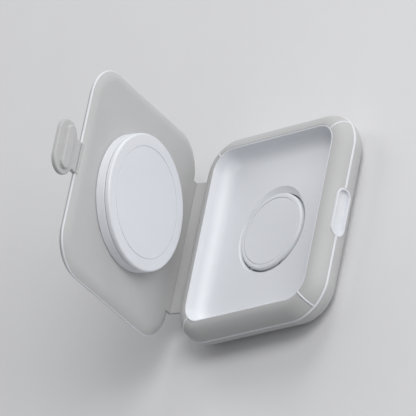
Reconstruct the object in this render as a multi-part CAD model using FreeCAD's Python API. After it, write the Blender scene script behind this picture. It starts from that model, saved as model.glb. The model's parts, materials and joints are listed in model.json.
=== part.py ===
import FreeCAD, Part
import math
import os

# Folding travel charger case: a tray and a lid joined by a soft spine, closed by a strap.
# Millimetres. Origin at the centre of the tray's underside, +Z up out of the tray, +X towards the clasp,
# +Y along the spine. The lid is drawn shut, flat over the tray, and is then turned open about the spine.

# Driving dimensions: the two leaves
leaf_width = 81.0        # across the spine, measured at the bead
leaf_length = 90.6       # along the spine, measured at the bead
leaf_corner = 15.6       # corner radius of both leaves at the bead
skin = 1.0               # soft grey skin on the outside
wall = 1.2               # white mouldings under the skin
fit_gap = 0.05           # clearance between neighbouring mouldings
bead_half = 0.55         # half the height of the white bead round each leaf
bead_stand = 0.35        # how far a bead stands out of the skin
bead_fade = 3.0          # length over which the tray's bead ends beside the spine

# Driving dimensions: tray
tray_height = 16.5
bead_drop = 6.7          # from the rim down to the bead
lip_width = 0.7          # white lip at the rim
floor_depth = 7.9        # from the rim down to the tray floor
floor_thick = 1.3
floor_fillet = 5.5
wall_draft = 0.4         # how much the inside narrows from rim to floor
screw_radius = 0.95
screw_head_radius = 1.9
boss_radius = 2.4

# Driving dimensions: flip-up puck
puck_radius = 16.9
puck_height = 6.0
puck_stand = 0.6         # above the tray floor
puck_edge = 1.0          # rounding of its edges
puck_face_radius = 14.8
puck_face_thick = 0.7
puck_wall = 1.0
well_gap = 0.6
well_chamfer = 1.0
well_wall = 1.2
hinge_pin_radius = 0.5
hinge_pin_drop = 1.0     # pin below the tray floor
hinge_pin_inset = 2.0    # pin inside the puck's edge
running_gap = 0.05       # radial clearance of the puck on its pin
scoop_shift = 4.1        # finger scoop, towards +Y
scoop_inset = 0.8        # its radius, less than the puck's
scoop_depth = 1.6
scoop_run = 2.4          # width of its slope

# Driving dimensions: lid and charging disc
lid_thick = 5.0
lid_bead_height = 2.0    # from the lid's inner face
lid_edge_width = 4.5     # soft rounding of the lid's edge
lid_seat_gap = 0.2       # lid above the rim when shut
lid_open_angle = 75.0    # as it stands, from shut
disc_radius = 28.0
disc_base_height = 4.1
disc_cap_height = 2.05
disc_joint = 0.35        # dark joint between base and cap
disc_wall = 1.5
disc_floor = 1.0
disc_edge = 0.8
disc_ring_radius = 22.8
disc_ring_width = 0.4
disc_ring_depth = 0.25

# Driving dimensions: spine
spine_length = 59.0
spine_thick = 1.1
spine_stand = 0.3        # spine off the tray wall when shut
fold_gap = 0.1           # clearance round a fold

# Driving dimensions: clasp
strap_thick = 2.0
strap_neck_width = 13.3
strap_clear = 0.5        # strap head off the front wall when shut
strap_head_length = 23.4
strap_head_width = 12.8
strap_edge = 0.6         # rounding of the strap's and the boss's edges
strap_root = 2.0         # how far the strap's root reaches into the lid's edge
strap_junction = 1.5     # rounding between neck and head
clasp_boss_height = 1.6
clasp_clear = 0.35       # boss inside the socket's lip
socket_length = 21.2
socket_width = 7.4
socket_lip = 0.8
socket_stand = 0.2       # its lip off the wall's widest line
socket_recess = 1.6
keeper_thick = 0.8

# Driving dimensions: inner pieces
board_thick = 0.8
board_length = 30.0
board_clear = 0.5        # board and cable off the puck's well
board_step = 3.0         # how far the board reaches over the rounded base
inlet_width = 8.9
inlet_height = 3.2
inlet_depth = 7.4
inlet_wall = 0.3
flex_width = 5.0
flex_thick = 0.2
ferrite_thick = 0.7
coil_thick = 0.9
disc_coil_pitch = 2.0
disc_coil_width = 1.6
disc_coil_turns = 5
puck_coil_pitch = 1.6
puck_coil_width = 1.2
puck_coil_turns = 4
chip_size = 5.0
capacitor_size = 1.4
capacitor_count = 5
inductor_radius = 1.9
magnet_count = 18
magnet_share = 0.8       # part of the ring that is magnet
disc_screw_ring = 15.0
disc_screw_count = 3
disc_screw_radius = 0.8
disc_screw_head = 0.8
disc_magnet_height = 2.5
cut_over = 2.0           # how far a cut runs past what it cuts

# Worked out from the sizes above
half_x = leaf_width / 2
half_y = leaf_length / 2
bead_z = tray_height - bead_drop
rim_round = bead_drop - bead_half
base_round = bead_z - bead_half
upper_z = bead_z + bead_half
lower_z = bead_z - bead_half
floor_z = tray_height - floor_depth
floor_under = floor_z - floor_thick
base_top = skin + fit_gap + wall
screw_inset = leaf_corner - (leaf_corner - base_round - boss_radius) * math.sqrt(0.5)
floor_inset = lip_width + rim_round + wall_draft + floor_fillet + skin
lip_in = -rim_round - lip_width + fit_gap
lip_out = lip_in + lip_width
well_radius = puck_radius + well_gap
collar_radius = well_radius + well_wall
puck_top = floor_z + puck_stand
puck_under = puck_top - puck_height
pin_y = hinge_pin_inset - puck_radius
pin_z = floor_z - hinge_pin_drop
lid_face_z = tray_height + lid_seat_gap
lid_bead_z = lid_face_z + lid_bead_height
disc_height = disc_base_height + disc_joint + disc_cap_height
spine_x = -half_x - spine_stand - spine_thick / 2
spine_low_z = bead_z
spine_high_z = lid_face_z + skin / 2
spine_drop = spine_low_z - lid_thick + skin / 2
spine_flat_angle = 90 + math.degrees(math.asin(spine_drop / (spine_high_z - spine_low_z)))
strap_x = half_x + strap_clear + strap_thick / 2
strap_z = lid_bead_z
boss_x = strap_x + strap_z - bead_z
recess_length = socket_length - 2 * socket_lip
recess_width = socket_width - 2 * socket_lip
clasp_boss_length = recess_length - 2 * clasp_clear
clasp_boss_width = recess_width - 2 * clasp_clear
scoop_radius = puck_radius - scoop_inset
flex_centre = collar_radius + board_clear + flex_width / 2
board_back = scoop_shift + scoop_radius + well_wall + board_clear
board_front = half_y - base_round + board_step
disc_board_low = disc_floor + disc_screw_head + 4 * fit_gap

X_AXIS = FreeCAD.Vector(1, 0, 0)
Y_AXIS = FreeCAD.Vector(0, 1, 0)
Z_AXIS = FreeCAD.Vector(0, 0, 1)
ORIGIN = FreeCAD.Vector(0, 0, 0)


def at(x, y, z):
    return FreeCAD.Vector(x, y, z)


def section(start, *steps):
    """A closed face in the XZ plane: a step is a point, or a pair (through, end) for an arc."""
    edges = []
    here = at(start[0], 0, start[1])
    for step in steps + (start,):
        if isinstance(step[0], tuple):
            through, end = (at(p[0], 0, p[1]) for p in step)
            edges.append(Part.Arc(here, through, end).toShape())
        else:
            end = at(step[0], 0, step[1])
            if end.distanceToPoint(here) < 1e-7:
                continue
            edges.append(Part.makeLine(here, end))
        here = end
    return Part.Face(Part.Wire(edges))


def on_circle(centre, radius, degrees):
    turn = math.radians(degrees)
    return centre[0] + radius * math.cos(turn), centre[1] + radius * math.sin(turn)


def height_on(centre, radius, offset):
    """Height of the upper half of a circle over an offset."""
    return centre[1] + math.sqrt(radius ** 2 - (offset - centre[0]) ** 2)


def offset_at(centre, radius, height):
    """Offset of the outer half of a circle at a height."""
    return centre[0] + math.sqrt(radius ** 2 - (height - centre[1]) ** 2)


def one_solid(shape):
    """The single solid of a shape, with its split faces joined."""
    clean = shape.removeSplitter()
    solids = clean.Solids
    assert len(solids) == 1, len(solids)
    return solids[0]


def fused(first, *others):
    return first.fuse(list(others)).removeSplitter()


def box(low, high):
    size = at(*high) - at(*low)
    return Part.makeBox(size.x, size.y, size.z, at(*low))


def rod(radius, start, end):
    """A round bar between two points."""
    way = at(*end) - at(*start)
    return Part.makeCylinder(radius, way.Length, at(*start), way)


def turned(profile, x=0.0, y=0.0):
    """A section of radius and height, turned once round an upright axis."""
    shape = profile.revolve(ORIGIN, Z_AXIS, 360)
    shape.translate(at(x, y, 0))
    return shape


def ring(profile, half_width, half_depth, corner):
    """A section of offset and height, carried once round a rounded rectangle."""
    run_x = half_width - corner
    run_y = half_depth - corner
    starts = ((run_x, -run_y), (run_x, run_y), (-run_x, run_y), (-run_x, -run_y))
    pieces = []
    for side, (x, y) in enumerate(starts):
        length = 2 * (run_y if side % 2 == 0 else run_x)
        face = profile.copy()
        face.translate(at(corner, 0, 0))
        face.rotate(ORIGIN, Z_AXIS, 90 * side)
        face.translate(at(x, y, 0))
        way = FreeCAD.Rotation(Z_AXIS, 90 * side).multVec(Y_AXIS * length)
        pieces.append(face.extrude(way))
        face.translate(way)
        pieces.append(face.revolve(at(x, y, 0) + way, Z_AXIS, 90))
    return fused(*pieces)


def rounded_plate(half_width, half_depth, corner, low, high):
    plate = box((-half_width, -half_depth, low), (half_width, half_depth, high))
    upright = [e for e in plate.Edges if abs(e.BoundBox.ZLength - (high - low)) < 1e-6]
    return plate.makeFillet(corner, upright)


def leaf_plate(low, high):
    """The middle of a leaf, inside the sections that go round its edge."""
    corner = leaf_corner - floor_inset
    return rounded_plate(half_x - floor_inset, half_y - floor_inset, corner, low, high)


def stadium(length, width, low, high):
    """A round-ended bar along Y, centred on the X axis line, between two X planes."""
    radius = width / 2
    reach = length / 2 - radius
    face = Part.Face(Part.Wire([
        Part.makeLine(at(low, -reach, -radius), at(low, reach, -radius)),
        Part.Arc(at(low, reach, -radius), at(low, reach + radius, 0), at(low, reach, radius)).toShape(),
        Part.makeLine(at(low, reach, radius), at(low, -reach, radius)),
        Part.Arc(at(low, -reach, radius), at(low, -reach - radius, 0), at(low, -reach, -radius)).toShape(),
    ]))
    return face.extrude(X_AXIS * (high - low))


def edges_at_x(shape, x):
    return [e for e in shape.Edges if abs(e.BoundBox.XMin - x) < 1e-6 and e.BoundBox.XLength < 1e-6]


def edges_at_z(shape, z):
    return [e for e in shape.Edges if abs(e.BoundBox.ZMin - z) < 1e-6 and e.BoundBox.ZLength < 1e-6]


def spiral(inner, pitch, turns, width, low, high):
    """A flat winding of half circles whose radius grows by half a pitch each time."""
    half_pitch = pitch / 2
    pieces = []
    for half in range(2 * turns):
        radius = inner + half * half_pitch
        sign = 1 if half % 2 == 0 else -1
        middle = 0.0 if half % 2 == 0 else -half_pitch
        face = section((radius - width / 2, low), (radius + width / 2, low),
                       (radius + width / 2, high), (radius - width / 2, high))
        piece = face.revolve(ORIGIN, Z_AXIS, 180)
        if sign < 0:
            piece.rotate(ORIGIN, Z_AXIS, 180)
        piece.translate(at(middle, 0, 0))
        pieces.append(piece)
    return fused(*pieces)


def opened(shape):
    """Turn a piece of the shut lid to where it stands, about the spine's lower fold."""
    shape = shape.copy()
    shape.rotate(at(spine_x, 0, spine_low_z), Y_AXIS, -lid_open_angle)
    return shape


def base_screw(x, y, top, clear):
    """A screw with its flat head down on the base skin, or the room for it."""
    low = skin + 2 * fit_gap
    head = screw_head_radius + clear
    shank = screw_radius + clear
    profile = section((0, low - clear), (head, low - clear), (head, low), (shank, low + head - shank),
                      (shank, top), (0, top))
    return turned(profile, x, y)


def screw_places():
    reach_x = half_x - screw_inset
    reach_y = half_y - screw_inset
    return [(sx * reach_x, sy * reach_y) for sx in (-1, 1) for sy in (-1, 1)]


def socket_hole():
    """Clearance for the clasp socket through the front wall."""
    length = socket_length + 2 * fit_gap
    width = socket_width + 2 * fit_gap
    hole = stadium(length, width, half_x - rim_round / 2, half_x + cut_over)
    hole.translate(at(0, 0, bead_z))
    return hole


def inlet_hole(clear):
    """Clearance for the inlet through the +Y wall, under the tray floor."""
    length = inlet_width + 2 * clear
    width = inlet_height + 2 * clear
    hole = stadium_along_y(length, width, inlet_back(), half_y + cut_over)
    hole.translate(at(0, 0, inlet_z()))
    return hole


def stadium_along_y(length, width, low, high):
    bar = stadium(length, width, low, high)
    bar.rotate(ORIGIN, Z_AXIS, 90)
    return bar


def inlet_z():
    return (base_top + floor_under) / 2


def inlet_back():
    return half_y - inlet_drop() - inlet_depth


def inlet_drop():
    """How far the rounded wall stands back from the bead at the inlet's height."""
    rise = lower_z - inlet_z()
    return base_round - math.sqrt(base_round ** 2 - rise ** 2) + inlet_height / 4


UPPER_CENTRE = (-rim_round, upper_z)
LOWER_CENTRE = (-base_round, lower_z)


def tray_shell():
    shell_round = rim_round - skin - fit_gap
    inner_round = shell_round - wall
    foot = lip_in - wall_draft
    fillet_centre = (foot - floor_fillet, floor_z + floor_fillet)
    outer_fillet = floor_fillet + floor_thick
    lip_radius = lip_width / 2
    back_of_wall = lip_in + floor_thick
    profile = section(
        (-floor_inset, floor_z),
        (foot - floor_fillet, floor_z),
        (on_circle(fillet_centre, floor_fillet, -45), (foot, floor_z + floor_fillet)),
        (lip_in, tray_height - lip_radius),
        ((lip_in + lip_radius, tray_height), (lip_out, tray_height - lip_radius)),
        (lip_out, height_on(UPPER_CENTRE, shell_round, lip_out)),
        (on_circle(UPPER_CENTRE, shell_round, 45), on_circle(UPPER_CENTRE, shell_round, 0)),
        (0, upper_z),
        ((bead_stand, bead_z), (0, lower_z)),
        (-rim_round + inner_round, lower_z),
        (-rim_round + inner_round, upper_z),
        (on_circle(UPPER_CENTRE, inner_round, 45),
         (back_of_wall, height_on(UPPER_CENTRE, inner_round, back_of_wall))),
        (foot + floor_thick, floor_z + floor_fillet),
        (on_circle(fillet_centre, outer_fillet, -45), (foot - floor_fillet, floor_under)),
        (-floor_inset, floor_under),
    )
    shell = ring(profile, half_x, half_y, leaf_corner)
    collar = Part.makeCylinder(collar_radius, floor_z - base_top - fit_gap, at(0, 0, base_top + fit_gap))
    scoop_floor = floor_z - scoop_depth
    scoop_block = Part.makeCylinder(scoop_radius + well_wall, scoop_depth + well_wall,
                                    at(0, scoop_shift, scoop_floor - well_wall))
    bosses = [rod(boss_radius, (x, y, base_top + fit_gap), (x, y, floor_z)) for x, y in screw_places()]
    shell = fused(shell, leaf_plate(floor_under, floor_z), collar, scoop_block, *corner_beads(), *bosses)
    chamfer_low = floor_z - well_chamfer
    well = turned(section((0, 0), (well_radius, 0), (well_radius, chamfer_low),
                          (well_radius + well_chamfer, floor_z), (well_radius + well_chamfer, tray_height),
                          (0, tray_height)))
    scoop_profile = section((0, scoop_floor), (scoop_radius - scoop_run, scoop_floor),
                            (scoop_radius, floor_z), (scoop_radius, tray_height), (0, tray_height))
    scoop = turned(scoop_profile, y=scoop_shift)
    holes = [rod(screw_radius + fit_gap, (x, y, 0), (x, y, floor_under)) for x, y in screw_places()]
    pin = rod(hinge_pin_radius + fit_gap / 5, (-pin_reach(), pin_y, pin_z), (pin_reach(), pin_y, pin_z))
    cuts = [well, scoop, pin, socket_hole(), spine_relief()] + holes
    return one_solid(shell.cut(cuts))


def corner_beads():
    """Four short beads over the corners, from the lip down to the bead round the side."""
    crest = rim_round - bead_half + bead_stand / 2
    root = rim_round - skin - wall
    web = section(on_circle(UPPER_CENTRE, root, 0), on_circle(UPPER_CENTRE, crest, 0),
                  (on_circle(UPPER_CENTRE, crest, 45), on_circle(UPPER_CENTRE, crest, 90)),
                  on_circle(UPPER_CENTRE, root, 90),
                  (on_circle(UPPER_CENTRE, root, 45), on_circle(UPPER_CENTRE, root, 0)))
    web = web.extrude(Y_AXIS * (2 * bead_half))
    web.translate(at(0, -bead_half, 0))
    start = on_circle(UPPER_CENTRE, crest, 0)
    circle = Part.Face(Part.Wire(Part.makeCircle(bead_half, at(start[0], 0, start[1]), Z_AXIS)))
    cord = circle.revolve(at(UPPER_CENTRE[0], 0, UPPER_CENTRE[1]), Y_AXIS * -1, 90)
    bead = fused(web, cord)
    beads = []
    for x_sign, y_sign, turn in ((1, 1, 45), (-1, 1, 135), (-1, -1, 225), (1, -1, 315)):
        copy = bead.copy()
        copy.translate(at(leaf_corner, 0, 0))
        copy.rotate(ORIGIN, Z_AXIS, turn)
        copy.translate(at(x_sign * (half_x - leaf_corner), y_sign * (half_y - leaf_corner), 0))
        beads.append(copy)
    return beads


def pin_reach():
    return math.sqrt(collar_radius ** 2 - pin_y ** 2) - well_wall / 3


def spine_relief():
    """The bead is left out behind the spine, and fades out beside it."""
    low = lower_z - cut_over
    outer = -half_x - cut_over
    near = spine_length / 2 + spine_thick
    far = near + bead_fade * cut_over / bead_stand
    corners = [at(-half_x, near, low), at(outer, far, low), at(outer, -far, low), at(-half_x, -near, low)]
    face = Part.Face(Part.makePolygon(corners + corners[:1]))
    return face.extrude(Z_AXIS * (upper_z + cut_over - low))


def wall_skins():
    """Four soft panels between the lip, the bead and the corner beads, keyed by side."""
    inner = rim_round - skin
    edge = lip_out + fit_gap
    low = upper_z + fit_gap
    outer_low = offset_at(UPPER_CENTRE, rim_round, low)
    profile = section(
        (edge, height_on(UPPER_CENTRE, inner, edge)),
        (edge, height_on(UPPER_CENTRE, rim_round, edge)),
        (on_circle(UPPER_CENTRE, rim_round, 45), (outer_low, low)),
        (offset_at(UPPER_CENTRE, inner, low), low),
        (on_circle(UPPER_CENTRE, inner, 45), (edge, height_on(UPPER_CENTRE, inner, edge))),
    )
    band = ring(profile, half_x, half_y, leaf_corner)
    slot_half = bead_half + fit_gap
    cuts = [socket_hole()]
    for x_sign, y_sign, turn in ((1, 1, 45), (-1, 1, 135), (-1, -1, 225), (1, -1, 315)):
        slot = box((0, -slot_half, 0), (leaf_corner + cut_over, slot_half, tray_height + cut_over))
        slot.rotate(ORIGIN, Z_AXIS, turn)
        slot.translate(at(x_sign * (half_x - leaf_corner), y_sign * (half_y - leaf_corner), 0))
        cuts.append(slot)
    panels = {}
    for solid in band.cut(cuts).Solids:
        middle = solid.CenterOfMass
        if abs(middle.x) > abs(middle.y):
            side = "front" if middle.x > 0 else "back"
        else:
            side = "left" if middle.y > 0 else "right"
        panels[side] = solid
    return panels


def dish(outer_round, thick, top):
    """A shallow tub that follows the rounded underside."""
    inner_round = outer_round - thick
    low = lower_z - outer_round
    top_turn = math.sqrt(outer_round ** 2 - (lower_z - top) ** 2)
    inner_turn = math.sqrt(inner_round ** 2 - (lower_z - top) ** 2)
    profile = section(
        (-floor_inset, low),
        (-base_round, low),
        (on_circle(LOWER_CENTRE, outer_round, -45), (-base_round + top_turn, top)),
        (-base_round + inner_turn, top),
        (on_circle(LOWER_CENTRE, inner_round, -45), (-base_round, low + thick)),
        (-floor_inset, low + thick),
    )
    return fused(ring(profile, half_x, half_y, leaf_corner), leaf_plate(low, low + thick))


def base_skin():
    top = lower_z - fit_gap
    shape = dish(base_round, skin, top)
    reach = spine_length / 2
    cradle_low = spine_low_z - 2 * spine_thick
    cradle = box((spine_x + fold_gap, -reach, cradle_low), (-half_x + skin / 2, reach, top))
    clear = spine_thick / 2 + fold_gap
    fold = rod(clear, (spine_x, -half_y, spine_low_z), (spine_x, half_y, spine_low_z))
    inside = box((-half_x + skin, -half_y, 0), (half_x, half_y, tray_height))
    flat_strip = box((spine_x - clear, -half_y, spine_low_z), (spine_x + clear, half_y, spine_high_z))
    flat_strip.rotate(at(spine_x, 0, spine_low_z), Y_AXIS, -spine_flat_angle)
    shape = fused(shape, cradle.cut([fold, inside, flat_strip]))
    return one_solid(shape.cut([socket_hole(), inlet_hole(2 * fit_gap)]))


def base_shell():
    shape = dish(base_round - skin - fit_gap, wall, lower_z - fit_gap)
    cuts = [base_screw(x, y, floor_under, 2 * fit_gap) for x, y in screw_places()]
    cuts += [socket_hole(), inlet_hole(2 * fit_gap)]
    return one_solid(shape.cut(cuts))


def base_screws():
    return Part.makeCompound([base_screw(x, y, floor_under - fit_gap, 0) for x, y in screw_places()])


def clasp_socket():
    depth = socket_stand + socket_recess + wall
    cup = stadium(socket_length, socket_width, half_x + socket_stand - depth, half_x + socket_stand)
    cup = cup.makeFillet(socket_lip / 3, edges_at_x(cup, half_x + socket_stand))
    recess = stadium(recess_length, recess_width, half_x + socket_stand - socket_recess, half_x + cut_over)
    cup = cup.cut(recess)
    cup.translate(at(0, 0, bead_z))
    return one_solid(cup)


def clasp_keeper():
    back = half_x - socket_recess - wall - fit_gap
    length = recess_length - 2 * socket_lip
    width = recess_width - 2 * socket_lip
    plate = stadium(length, width, back - keeper_thick, back)
    plate.translate(at(0, 0, bead_z))
    return plate


def puck_hinge_pin():
    reach = pin_reach() - fit_gap
    return rod(hinge_pin_radius, (-reach, pin_y, pin_z), (reach, pin_y, pin_z))


def puck_housing():
    seat = puck_top - puck_face_thick - fit_gap
    opening = puck_face_radius - puck_wall
    edge_low = (puck_radius - puck_edge, puck_under + puck_edge)
    edge_high = (puck_radius - puck_edge, puck_top - puck_edge)
    cup = turned(section(
        (0, puck_under),
        (puck_radius - puck_edge, puck_under),
        (on_circle(edge_low, puck_edge, -45), (puck_radius, puck_under + puck_edge)),
        (puck_radius, puck_top - puck_edge),
        (on_circle(edge_high, puck_edge, 45), (puck_radius - puck_edge, puck_top)),
        (puck_face_radius + 2 * fit_gap, puck_top),
        (puck_face_radius + 2 * fit_gap, seat),
        (opening, seat),
        (opening, puck_under + puck_wall),
        (0, puck_under + puck_wall),
    ))
    pin = rod(hinge_pin_radius + running_gap, (-half_x, pin_y, pin_z), (half_x, pin_y, pin_z))
    return one_solid(cup.cut(pin))


def puck_face():
    edge = puck_edge / 5
    low = puck_top - puck_face_thick
    return turned(section((0, low), (puck_face_radius, low), (puck_face_radius, puck_top - edge),
                          (puck_face_radius - edge, puck_top), (0, puck_top)))


def puck_ferrite():
    low = puck_under + puck_wall + fit_gap
    radius = puck_face_radius - 2 * puck_wall
    return Part.makeCylinder(radius, ferrite_thick, at(0, 0, low))


def puck_coil_low():
    return puck_under + puck_wall + ferrite_thick + 2 * fit_gap


def puck_coil():
    low = puck_coil_low()
    high = low + coil_thick
    inner = puck_face_radius * 0.4
    return one_solid(spiral(inner, puck_coil_pitch, puck_coil_turns, puck_coil_width, low, high))


def puck_magnet():
    low = puck_coil_low()
    return Part.makeCylinder(puck_face_radius * 0.28, 2 * coil_thick, at(0, 0, low))


def board_low():
    return inlet_z() - board_thick


def main_board():
    half = board_length / 2
    board = box((-half, board_back, board_low()), (half, board_front, inlet_z()))
    notch_half = inlet_width / 2 + board_clear
    notch = box((-notch_half, inlet_back() - board_clear, 0), (notch_half, half_y, tray_height))
    return one_solid(board.cut(notch))


def board_parts():
    """Two chips, two inductors and a row of capacitors on the board."""
    top = inlet_z()
    room = floor_under - top
    left = -board_length / 2 + chip_size / 2
    parts = []
    for y in (board_back + chip_size / 4, board_front - chip_size * 1.25):
        parts.append(box((left, y, top), (left + chip_size, y + chip_size, top + room * 0.5)))
    for count in range(2):
        x = board_length / 2 - (1.5 + 2.5 * count) * inductor_radius
        y = board_back + 1.5 * inductor_radius
        parts.append(rod(inductor_radius, (x, y, top), (x, y, top + room * 0.8)))
    for count in range(capacitor_count):
        x = left + 1.5 * chip_size + 1.6 * capacitor_size * count
        parts.append(box((x, board_back + capacitor_size, top),
                         (x + capacitor_size, board_back + 2.5 * capacitor_size, top + room * 0.3)))
    return Part.makeCompound(parts)


def inlet_bar(clear, low, high):
    bar = stadium_along_y(inlet_width - 2 * clear, inlet_height - 2 * clear, low, high)
    bar.translate(at(0, 0, inlet_z()))
    return bar


def inlet_shell():
    front = inlet_back() + inlet_depth
    tube = inlet_bar(0, inlet_back(), front)
    return one_solid(tube.cut(inlet_bar(inlet_wall, inlet_back() + inlet_wall, front + cut_over)))


def inlet_tongue():
    low = inlet_back() + inlet_wall + fit_gap
    half_width = inlet_width / 2 - 4 * inlet_wall
    half_height = inlet_wall
    return box((-half_width, low, inlet_z() - half_height),
               (half_width, low + inlet_depth * 0.75, inlet_z() + half_height))


def flat_cable(x_low, x_high, z_low):
    half = flex_width / 2
    return box((x_low, flex_centre - half, z_low), (x_high, flex_centre + half, z_low + flex_thick))


def tray_flex():
    x_low = -half_x + base_round
    return flat_cable(x_low, -board_length / 2 + board_clear, board_low() - flex_thick - fit_gap)


def spine_slot(clear):
    half = flex_width / 2 + clear
    thick = flex_thick / 2 + clear
    return box((spine_x - thick, flex_centre - half, spine_low_z - clear),
               (spine_x + thick, flex_centre + half, spine_high_z + clear))


def spine_strip():
    reach = spine_length / 2
    half = spine_thick / 2
    strip = box((spine_x - half, -reach, spine_low_z), (spine_x + half, reach, spine_high_z))
    folds = [rod(half, (spine_x, -reach, z), (spine_x, reach, z)) for z in (spine_low_z, spine_high_z)]
    return opened(one_solid(fused(strip, *folds).cut(spine_slot(fit_gap))))


def spine_flex():
    return opened(spine_slot(0))


def edge_round(rise):
    """Radius of the arc that is flat at the lid's face and has this rise at its edge."""
    return (lid_edge_width ** 2 + rise ** 2) / (2 * rise)


def middle_turn(centre, end, sign):
    """Direction of the middle of the arc from straight over or under its centre to its end."""
    end_turn = math.degrees(math.atan2(end[1] - centre[1], end[0] - centre[0]))
    return (end_turn + 90 * sign) / 2


LID_IN_ROUND = edge_round(lid_bead_height - bead_half)
LID_OUT_ROUND = edge_round(lid_thick - lid_bead_height - bead_half)
LID_IN_CENTRE = (-lid_edge_width, lid_face_z + LID_IN_ROUND)
LID_OUT_CENTRE = (-lid_edge_width, lid_face_z + lid_thick - LID_OUT_ROUND)


def lid_sheet(centre, radius, thick, end_z, sign):
    """One skin of the lid: flat in the middle, rounded towards the bead at its edge."""
    face_z = centre[1] + sign * radius
    back_z = face_z - sign * thick
    inner = radius - thick
    end = (offset_at(centre, radius, end_z), end_z)
    inner_end = (offset_at(centre, inner, end_z), end_z)
    profile = section(
        (-floor_inset, face_z),
        (centre[0], face_z),
        (on_circle(centre, radius, middle_turn(centre, end, sign)), end),
        inner_end,
        (on_circle(centre, inner, middle_turn(centre, inner_end, sign)), (centre[0], back_z)),
        (-floor_inset, back_z),
    )
    low, high = sorted((face_z, back_z))
    return fused(ring(profile, half_x, half_y, leaf_corner), leaf_plate(low, high))


def strap_root_block(clear):
    """The strap's root, from inside the lid's edge out to the fold, or the room for it."""
    reach = strap_neck_width / 2 + clear
    half = strap_thick / 2 + clear
    return box((half_x - strap_root - clear, -reach, strap_z - half), (strap_x, reach, strap_z + half))


def lid_screw_holes(clear):
    return [rod(disc_screw_radius + clear, (x, y, lid_face_z - disc_base_height),
                (x, y, lid_face_z + lid_thick - 2 * skin)) for x, y in disc_screw_places()]


def disc_screw_places():
    return [on_circle((0, 0), disc_screw_ring, 360 * n / disc_screw_count) for n in range(disc_screw_count)]


def lid_inner_skin():
    sheet = lid_sheet(LID_IN_CENTRE, LID_IN_ROUND, skin, lid_bead_z - bead_half - fit_gap, -1)
    reach = spine_length / 2
    flap = box((spine_x, -reach, lid_face_z), (-half_x + lid_edge_width + skin, reach, lid_face_z + skin))
    clear = spine_thick / 2 + fold_gap
    fold = rod(clear, (spine_x, -half_y, spine_high_z), (spine_x, half_y, spine_high_z))
    strip = box((spine_x, -half_y, lid_face_z - cut_over), (spine_x + clear, half_y, spine_high_z))
    sheet = fused(sheet, flap.cut([fold, strip]))
    return opened(one_solid(sheet.cut([strap_root_block(fit_gap)] + lid_screw_holes(fit_gap))))


def lid_core():
    inner = LID_IN_ROUND - skin - fit_gap
    outer = LID_OUT_ROUND - skin - fit_gap
    low = lid_face_z + skin + fit_gap
    high = lid_face_z + lid_thick - skin - fit_gap
    bead_low = lid_bead_z - bead_half
    bead_high = lid_bead_z + bead_half
    in_end = (offset_at(LID_IN_CENTRE, inner, bead_low), bead_low)
    out_end = (offset_at(LID_OUT_CENTRE, outer, bead_high), bead_high)
    in_turn = middle_turn(LID_IN_CENTRE, in_end, -1)
    out_turn = middle_turn(LID_OUT_CENTRE, out_end, 1)
    profile = section(
        (-floor_inset, low),
        (-lid_edge_width, low),
        (on_circle(LID_IN_CENTRE, inner, in_turn), in_end),
        (0, bead_low),
        ((bead_stand, lid_bead_z), (0, bead_high)),
        out_end,
        (on_circle(LID_OUT_CENTRE, outer, out_turn), (-lid_edge_width, high)),
        (-floor_inset, high),
    )
    core = fused(ring(profile, half_x, half_y, leaf_corner), leaf_plate(low, high))
    half = flex_width / 2 + fit_gap
    pocket = box((-half_x - cut_over, flex_centre - half, low - cut_over),
                 (-disc_radius / 3, flex_centre + half, low + flex_thick + fit_gap))
    spine_room = box((-half_x - cut_over, -spine_length / 2, low - cut_over),
                     (-half_x + lid_edge_width, spine_length / 2, low + fit_gap))
    cuts = [pocket, spine_room, strap_root_block(fit_gap)] + lid_screw_holes(fit_gap)
    return opened(one_solid(core.cut(cuts)))


def lid_outer_skin():
    sheet = lid_sheet(LID_OUT_CENTRE, LID_OUT_ROUND, skin, lid_bead_z + bead_half + fit_gap, 1)
    clear = strap_thick / 2 + fold_gap
    fold = rod(clear, (strap_x, -half_y, strap_z), (strap_x, half_y, strap_z))
    folded = box((strap_x - clear, -half_y, strap_z - strap_thick), (strap_x + clear, half_y, strap_z))
    return opened(one_solid(fused(sheet, strap_root_block(0).cut([fold, folded]))))


def lid_flex():
    low = lid_face_z + skin + fit_gap
    return opened(flat_cable(-half_x + lid_edge_width, -disc_radius / 3 - fit_gap, low + fit_gap / 2))


def disc_section(*steps):
    """A section of the disc: radius, and height from the lid's inner face towards the tray."""
    def drop(point):
        return point[0], lid_face_z - point[1]

    return section(*[tuple(drop(p) for p in s) if isinstance(s[0], tuple) else drop(s) for s in steps])


def disc_base():
    inside = disc_radius - disc_wall
    chamfer = disc_edge / 2
    cup = turned(disc_section((0, fit_gap), (disc_radius - chamfer, fit_gap), (disc_radius, chamfer),
                              (disc_radius, disc_base_height - chamfer / 2),
                              (disc_radius - chamfer / 2, disc_base_height),
                              (inside, disc_base_height), (inside, disc_floor), (0, disc_floor)))
    return opened(one_solid(cup.cut(lid_screw_holes(fit_gap))))


def disc_gasket():
    low = disc_base_height + fit_gap
    high = disc_base_height + disc_joint - fit_gap
    outside = disc_radius - disc_joint
    inside = disc_radius - disc_wall - skin
    return opened(turned(disc_section((inside, low), (outside, low), (outside, high), (inside, high))))


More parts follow.
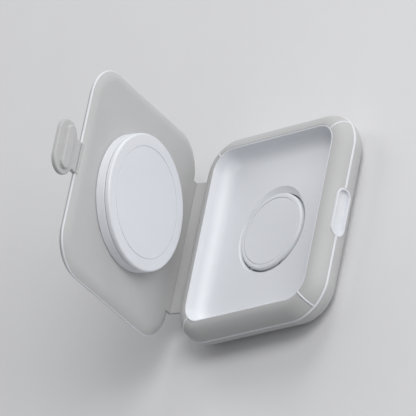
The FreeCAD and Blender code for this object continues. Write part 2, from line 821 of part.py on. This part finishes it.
def disc_cap():
    low = disc_base_height + disc_joint
    high = disc_height
    hollow = disc_cap_height / 2
    inside = disc_radius - disc_wall - skin
    chamfer = disc_edge / 4
    ring_in = disc_ring_radius - disc_ring_width / 2
    ring_out = disc_ring_radius + disc_ring_width / 2
    corner = disc_radius - disc_edge
    rounded = (corner + disc_edge * math.sqrt(0.5), high - disc_edge * (1 - math.sqrt(0.5)))
    return opened(turned(disc_section(
        (0, low + hollow), (inside, low + hollow), (inside, low), (disc_radius - chamfer, low),
        (disc_radius, low + chamfer), (disc_radius, high - disc_edge),
        (rounded, (corner, high)),
        (ring_out, high), (ring_out, high - disc_ring_depth), (ring_in, high - disc_ring_depth),
        (ring_in, high), (0, high),
    )))


def disc_board():
    radius = disc_radius * 0.76
    top = lid_face_z - disc_board_low
    return opened(Part.makeCylinder(radius, board_thick, at(0, 0, top - board_thick)))


def disc_ferrite():
    top = lid_face_z - disc_board_low - board_thick - fit_gap
    return opened(Part.makeCylinder(disc_radius * 0.76, ferrite_thick, at(0, 0, top - ferrite_thick)))


def disc_coil():
    top = lid_face_z - disc_board_low - board_thick - ferrite_thick - 2 * fit_gap
    return opened(one_solid(spiral(disc_radius * 0.36, disc_coil_pitch, disc_coil_turns, disc_coil_width,
                                    top - coil_thick, top)))


def disc_magnets():
    inside = disc_radius * 0.8
    outside = disc_radius - disc_wall - 2 * fit_gap
    step = 360 / magnet_count
    low = disc_floor + fit_gap
    high = low + disc_magnet_height
    profile = disc_section((inside, low), (outside, low), (outside, high), (inside, high))
    arc = profile.revolve(ORIGIN, Z_AXIS, step * magnet_share)
    magnets = []
    for count in range(magnet_count):
        magnet = arc.copy()
        magnet.rotate(ORIGIN, Z_AXIS, step * count)
        magnets.append(magnet)
    return opened(Part.makeCompound(magnets))


def disc_screws():
    radius = disc_screw_radius
    top = lid_face_z + lid_thick - 2 * skin - fit_gap
    head = lid_face_z - disc_floor - fit_gap
    low = head - disc_screw_head
    screws = []
    for x, y in disc_screw_places():
        profile = section((0, low), (2 * radius, low), (2 * radius, head), (radius, head),
                          (radius, top), (0, top))
        screws.append(turned(profile, x, y))
    return opened(Part.makeCompound(screws))


def strap_outline():
    """The strap from its fold to its head: a neck that flows into a round-ended bar."""
    neck = strap_neck_width / 2
    radius = strap_head_width / 2
    reach = strap_head_length / 2 - radius
    rise = neck + strap_junction - reach
    run = math.sqrt((radius + strap_junction) ** 2 - rise ** 2)
    share = radius / (radius + strap_junction)
    turn_x = boss_x - run
    join = (boss_x - run * share, reach + rise * share)
    lowest = (turn_x + strap_junction * math.sin(math.atan2(run, rise) / 2),
              neck + strap_junction - strap_junction * math.cos(math.atan2(run, rise) / 2))

    def other(point):
        return point[0], -point[1]

    side = (boss_x, reach + radius)
    outer = (boss_x + radius, reach)
    quarter = (boss_x + radius * math.sqrt(0.5), reach + radius * math.sqrt(0.5))
    shoulder = (boss_x - radius * math.sqrt(0.5), reach + radius * math.sqrt(0.5))
    outline = section(
        (strap_x, -neck), (strap_x, neck), (turn_x, neck),
        (lowest, join), (shoulder, side), (quarter, outer),
        other(outer), (other(quarter), other(side)), (other(shoulder), other(join)),
        (other(lowest), (turn_x, -neck)),
    )
    outline.rotate(ORIGIN, X_AXIS, -90)
    return outline


def strap():
    """The whole strap as it lies in the plane of the shut lid, with the boss on its inner side."""
    half = strap_thick / 2
    plate = strap_outline()
    plate.translate(at(0, 0, strap_z - half))
    plate = plate.extrude(Z_AXIS * strap_thick)
    rim = [e for z in (strap_z - half, strap_z + half) for e in edges_at_z(plate, z)
           if e.BoundBox.XMax > strap_x + fit_gap]
    plate = plate.makeFillet(strap_edge, rim)
    boss = stadium(clasp_boss_length, clasp_boss_width, -half, clasp_boss_height)
    boss = boss.makeFillet(strap_edge, edges_at_x(boss, clasp_boss_height))
    boss.rotate(ORIGIN, Y_AXIS, 90)
    boss.translate(at(boss_x, 0, strap_z - half))
    reach = strap_neck_width / 2
    fold = rod(half, (strap_x, -reach, strap_z), (strap_x, reach, strap_z))
    return fused(plate, fold, boss)


def clasp_magnet_block(clear):
    length = clasp_boss_length * 0.7
    width = clasp_boss_width * 0.55
    low = strap_z - strap_thick / 2 - clasp_boss_height + strap_edge
    high = strap_z + strap_thick / 2 - strap_edge
    return box((boss_x - width / 2 - clear, -length / 2 - clear, low - clear),
               (boss_x + width / 2 + clear, length / 2 + clear, high + clear))


def clasp_tab():
    return opened(one_solid(strap().cut(clasp_magnet_block(fit_gap))))


def clasp_magnet():
    return opened(clasp_magnet_block(0))


def all_pieces():
    panels = wall_skins()
    pieces = {"wall_skin_" + side: panels[side] for side in ("front", "back", "left", "right")}
    for make in (tray_shell, base_skin, base_shell, base_screws, clasp_socket, clasp_keeper, puck_hinge_pin,
                 main_board, board_parts, inlet_shell, inlet_tongue, tray_flex,
                 puck_housing, puck_face, puck_coil, puck_ferrite, puck_magnet,
                 spine_strip, spine_flex,
                 lid_inner_skin, lid_core, lid_outer_skin, lid_flex,
                 disc_base, disc_gasket, disc_cap, disc_coil, disc_ferrite,
                 disc_magnets, disc_board, disc_screws,
                 clasp_tab, clasp_magnet):
        pieces[make.__name__] = make()
    return pieces


os.makedirs("parts", exist_ok=True)
for name, shape in all_pieces().items():
    assert shape.isValid(), name
    shape.exportStep("parts/" + name + ".step")
    print(name, len(shape.Solids), round(shape.Volume, 1))
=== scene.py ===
import json

import bpy
from mathutils import Matrix, Vector

# Looks of the folding travel charger case, in metres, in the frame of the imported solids.
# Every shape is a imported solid. This file gives the solids their materials and sets up the studio.

MM = 0.001

# Camera of the photograph, fitted to the leaves, the disc, the tray and the clasp socket
PHOTO_PIXELS = 416
FOCAL_PIXELS = 6360.7
SENSOR_WIDTH = 36.0
CAMERA_PLACE = Vector((1.77205, -1.03814, 1.53163))
CAMERA_RIGHT = Vector((0.69303, 0.18572, -0.69658))
CAMERA_DOWN = Vector((-0.17476, -0.89414, -0.41227))
CAMERA_REACH = 20.0

# Studio: round lamps, each with its place, width and power, aimed at the middle of the open case
LAMP_TARGET = Vector((0, 0, 0.03))
LAMPS = {
    "front": (Vector((1.3, 0.1, 0.55)), 0.8, 5.7),
    "key": (Vector((0.9, 0.3, 1.1)), 0.7, 6.7),
    "back": (Vector((0.3, 1.3, 0.7)), 0.8, 6.6),
    "side": (Vector((-0.9, 0.5, 0.9)), 0.8, 3.0),
}
WORLD_COLOUR = (0.96, 0.97, 1.0, 1.0)
WORLD_STRENGTH = 0.24
FLOOR_SIZE = 8.0

# Shared by all surfaces
TONE_SCALE = 45.0        # slow change of tone, in waves a metre
TONE_DETAIL = 3.0
GRAIN_DETAIL = 2.0
GRAIN_IN_TONE = 0.35     # how much of the grain shows in the colour
TONE_LOW = 0.35          # noise value below which the colour is at its darkest
ROUGHNESS_SPREAD = 0.06
BUMP_STRENGTH = 0.6
COAT_ROUGHNESS = 0.25


def linear(red, green, blue):
    """Colour values as seen on a screen, 0 to 255, as the linear values that a shader takes."""
    shares = (value / 255 for value in (red, green, blue))
    return [s / 12.92 if s <= 0.04045 else ((s + 0.055) / 1.055) ** 2.4 for s in shares] + [1.0]


def shaded(colour, factor):
    """A colour made darker or lighter, with its opacity kept."""
    return [min(1.0, value * factor) for value in colour[:3]] + [1.0]


def noise(tree, place, scale, detail):
    """Noise over the solid's own coordinates, so it stays on the piece when the piece moves."""
    texture = tree.nodes.new("ShaderNodeTexNoise")
    texture.inputs["Scale"].default_value = scale
    texture.inputs["Detail"].default_value = detail
    tree.links.new(place.outputs["Object"], texture.inputs["Vector"])
    return texture


def surface(name, colour, roughness, grain_size, grain_height, tone_spread, metallic=0.0, coat=0.0,
            sheen=0.0):
    """A moulded or metal surface: a slow change of tone, a fine grain and a roughness that follows it."""
    material = bpy.data.materials.new(name)
    material.use_nodes = True
    tree = material.node_tree
    shader = tree.nodes["Principled BSDF"]
    shader.inputs["Metallic"].default_value = metallic
    shader.inputs["Coat Weight"].default_value = coat
    shader.inputs["Coat Roughness"].default_value = COAT_ROUGHNESS
    shader.inputs["Sheen Weight"].default_value = sheen
    place = tree.nodes.new("ShaderNodeTexCoord")
    tone = noise(tree, place, TONE_SCALE, TONE_DETAIL)
    grain = noise(tree, place, 1.0 / grain_size, GRAIN_DETAIL)

    blend = tree.nodes.new("ShaderNodeMath")
    blend.operation = "MULTIPLY_ADD"
    blend.inputs[1].default_value = GRAIN_IN_TONE
    tree.links.new(grain.outputs["Fac"], blend.inputs[0])
    tree.links.new(tone.outputs["Fac"], blend.inputs[2])

    ramp = tree.nodes.new("ShaderNodeValToRGB")
    darkest, lightest = ramp.color_ramp.elements
    darkest.position = TONE_LOW
    darkest.color = shaded(colour, 1.0 - tone_spread)
    lightest.position = 1.0
    lightest.color = shaded(colour, 1.0 + tone_spread)
    tree.links.new(blend.outputs["Value"], ramp.inputs["Fac"])
    tree.links.new(ramp.outputs["Color"], shader.inputs["Base Color"])

    rough = tree.nodes.new("ShaderNodeMapRange")
    rough.inputs["To Min"].default_value = roughness - ROUGHNESS_SPREAD
    rough.inputs["To Max"].default_value = roughness + ROUGHNESS_SPREAD
    tree.links.new(grain.outputs["Fac"], rough.inputs["Value"])
    tree.links.new(rough.outputs["Result"], shader.inputs["Roughness"])

    bump = tree.nodes.new("ShaderNodeBump")
    bump.inputs["Distance"].default_value = grain_height
    bump.inputs["Strength"].default_value = BUMP_STRENGTH
    tree.links.new(grain.outputs["Fac"], bump.inputs["Height"])
    tree.links.new(bump.outputs["Normal"], shader.inputs["Normal"])
    return material


def dress(nodes, subparts):
    """Give each solid the material of its slot in the record."""
    # Slot: colour, roughness, grain size, grain height, spread of tone
    finishes = {
        "soft_skin": (linear(190, 190, 190), 0.66, 0.5 * MM, 0.05 * MM, 0.035),
        "white_shell": (linear(225, 227, 231), 0.42, 0.3 * MM, 0.015 * MM, 0.015),
        "disc_white": (linear(228, 230, 235), 0.34, 0.3 * MM, 0.01 * MM, 0.012),
        "joint_dark": (linear(172, 176, 183), 0.6, 0.3 * MM, 0.01 * MM, 0.03),
        "copper": (linear(196, 118, 74), 0.3, 0.2 * MM, 0.01 * MM, 0.06),
        "ferrite": (linear(58, 58, 60), 0.7, 0.4 * MM, 0.02 * MM, 0.08),
        "magnet": (linear(190, 192, 195), 0.22, 0.4 * MM, 0.006 * MM, 0.03),
        "steel": (linear(178, 180, 183), 0.3, 0.2 * MM, 0.008 * MM, 0.04),
        "board": (linear(22, 84, 54), 0.45, 0.6 * MM, 0.02 * MM, 0.08),
        "chips": (linear(34, 34, 36), 0.5, 0.2 * MM, 0.01 * MM, 0.06),
        "flat_cable": (linear(168, 110, 44), 0.4, 0.5 * MM, 0.01 * MM, 0.06),
    }
    metals = ("copper", "magnet", "steel")
    coats = {"disc_white": 0.1}
    sheens = {"soft_skin": 0.15}
    material_of_slot = {}
    for slot, finish in finishes.items():
        material_of_slot[slot] = surface(slot, *finish, metallic=1.0 if slot in metals else 0.0,
                                         coat=coats.get(slot, 0.0), sheen=sheens.get(slot, 0.0))
    for entry in subparts:
        node = nodes[entry["node"]]
        node.data.materials.clear()
        node.data.materials.append(material_of_slot[entry["material_slot"]])


def lay_floor():
    """A plain pale floor under the case."""
    bpy.ops.mesh.primitive_plane_add(size=FLOOR_SIZE)
    floor = bpy.context.object
    floor.name = "floor"
    paper = surface("floor_paper", linear(232, 232, 233), 0.8, 1.5 * MM, 0.02 * MM, 0.01)
    floor.data.materials.append(paper)


def area_light(name, place, size, power):
    """A round soft lamp that faces the case."""
    lamp = bpy.data.lights.new(name, "AREA")
    lamp.shape = "DISK"
    lamp.size = size
    lamp.energy = power
    stand = bpy.data.objects.new(name, lamp)
    bpy.context.collection.objects.link(stand)
    stand.location = place
    stand.rotation_euler = (LAMP_TARGET - place).to_track_quat("-Z", "Y").to_euler()


def light_studio():
    """The lamps and the even light of the room."""
    for name, (place, size, power) in LAMPS.items():
        area_light(name, place, size, power)
    world = bpy.data.worlds.new("studio")
    world.use_nodes = True
    background = world.node_tree.nodes["Background"]
    background.inputs["Color"].default_value = WORLD_COLOUR
    background.inputs["Strength"].default_value = WORLD_STRENGTH
    bpy.context.scene.world = world


def set_camera():
    """The camera at the photograph's place and angle."""
    camera = bpy.data.cameras.new("photo_camera")
    camera.sensor_width = SENSOR_WIDTH
    camera.lens = FOCAL_PIXELS / PHOTO_PIXELS * SENSOR_WIDTH
    camera.clip_end = CAMERA_REACH
    stand = bpy.data.objects.new("photo_camera", camera)
    bpy.context.collection.objects.link(stand)
    right = CAMERA_RIGHT.normalized()
    back = right.cross(-CAMERA_DOWN.normalized()).normalized()
    up = back.cross(right)
    turn = Matrix((right, up, back)).transposed()
    stand.matrix_world = Matrix.Translation(CAMERA_PLACE) @ turn.to_4x4()
    bpy.context.scene.camera = stand
    bpy.context.scene.view_settings.view_transform = "Standard"


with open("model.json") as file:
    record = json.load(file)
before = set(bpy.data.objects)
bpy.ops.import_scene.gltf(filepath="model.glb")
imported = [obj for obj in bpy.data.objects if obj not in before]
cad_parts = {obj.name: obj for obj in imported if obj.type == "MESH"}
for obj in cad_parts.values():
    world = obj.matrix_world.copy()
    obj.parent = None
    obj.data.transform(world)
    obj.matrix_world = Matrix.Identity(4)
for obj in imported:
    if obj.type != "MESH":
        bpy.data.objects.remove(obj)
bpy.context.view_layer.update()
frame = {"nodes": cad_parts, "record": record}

dress(frame["nodes"], frame["record"]["subparts"])
lay_floor()
light_studio()
set_camera()
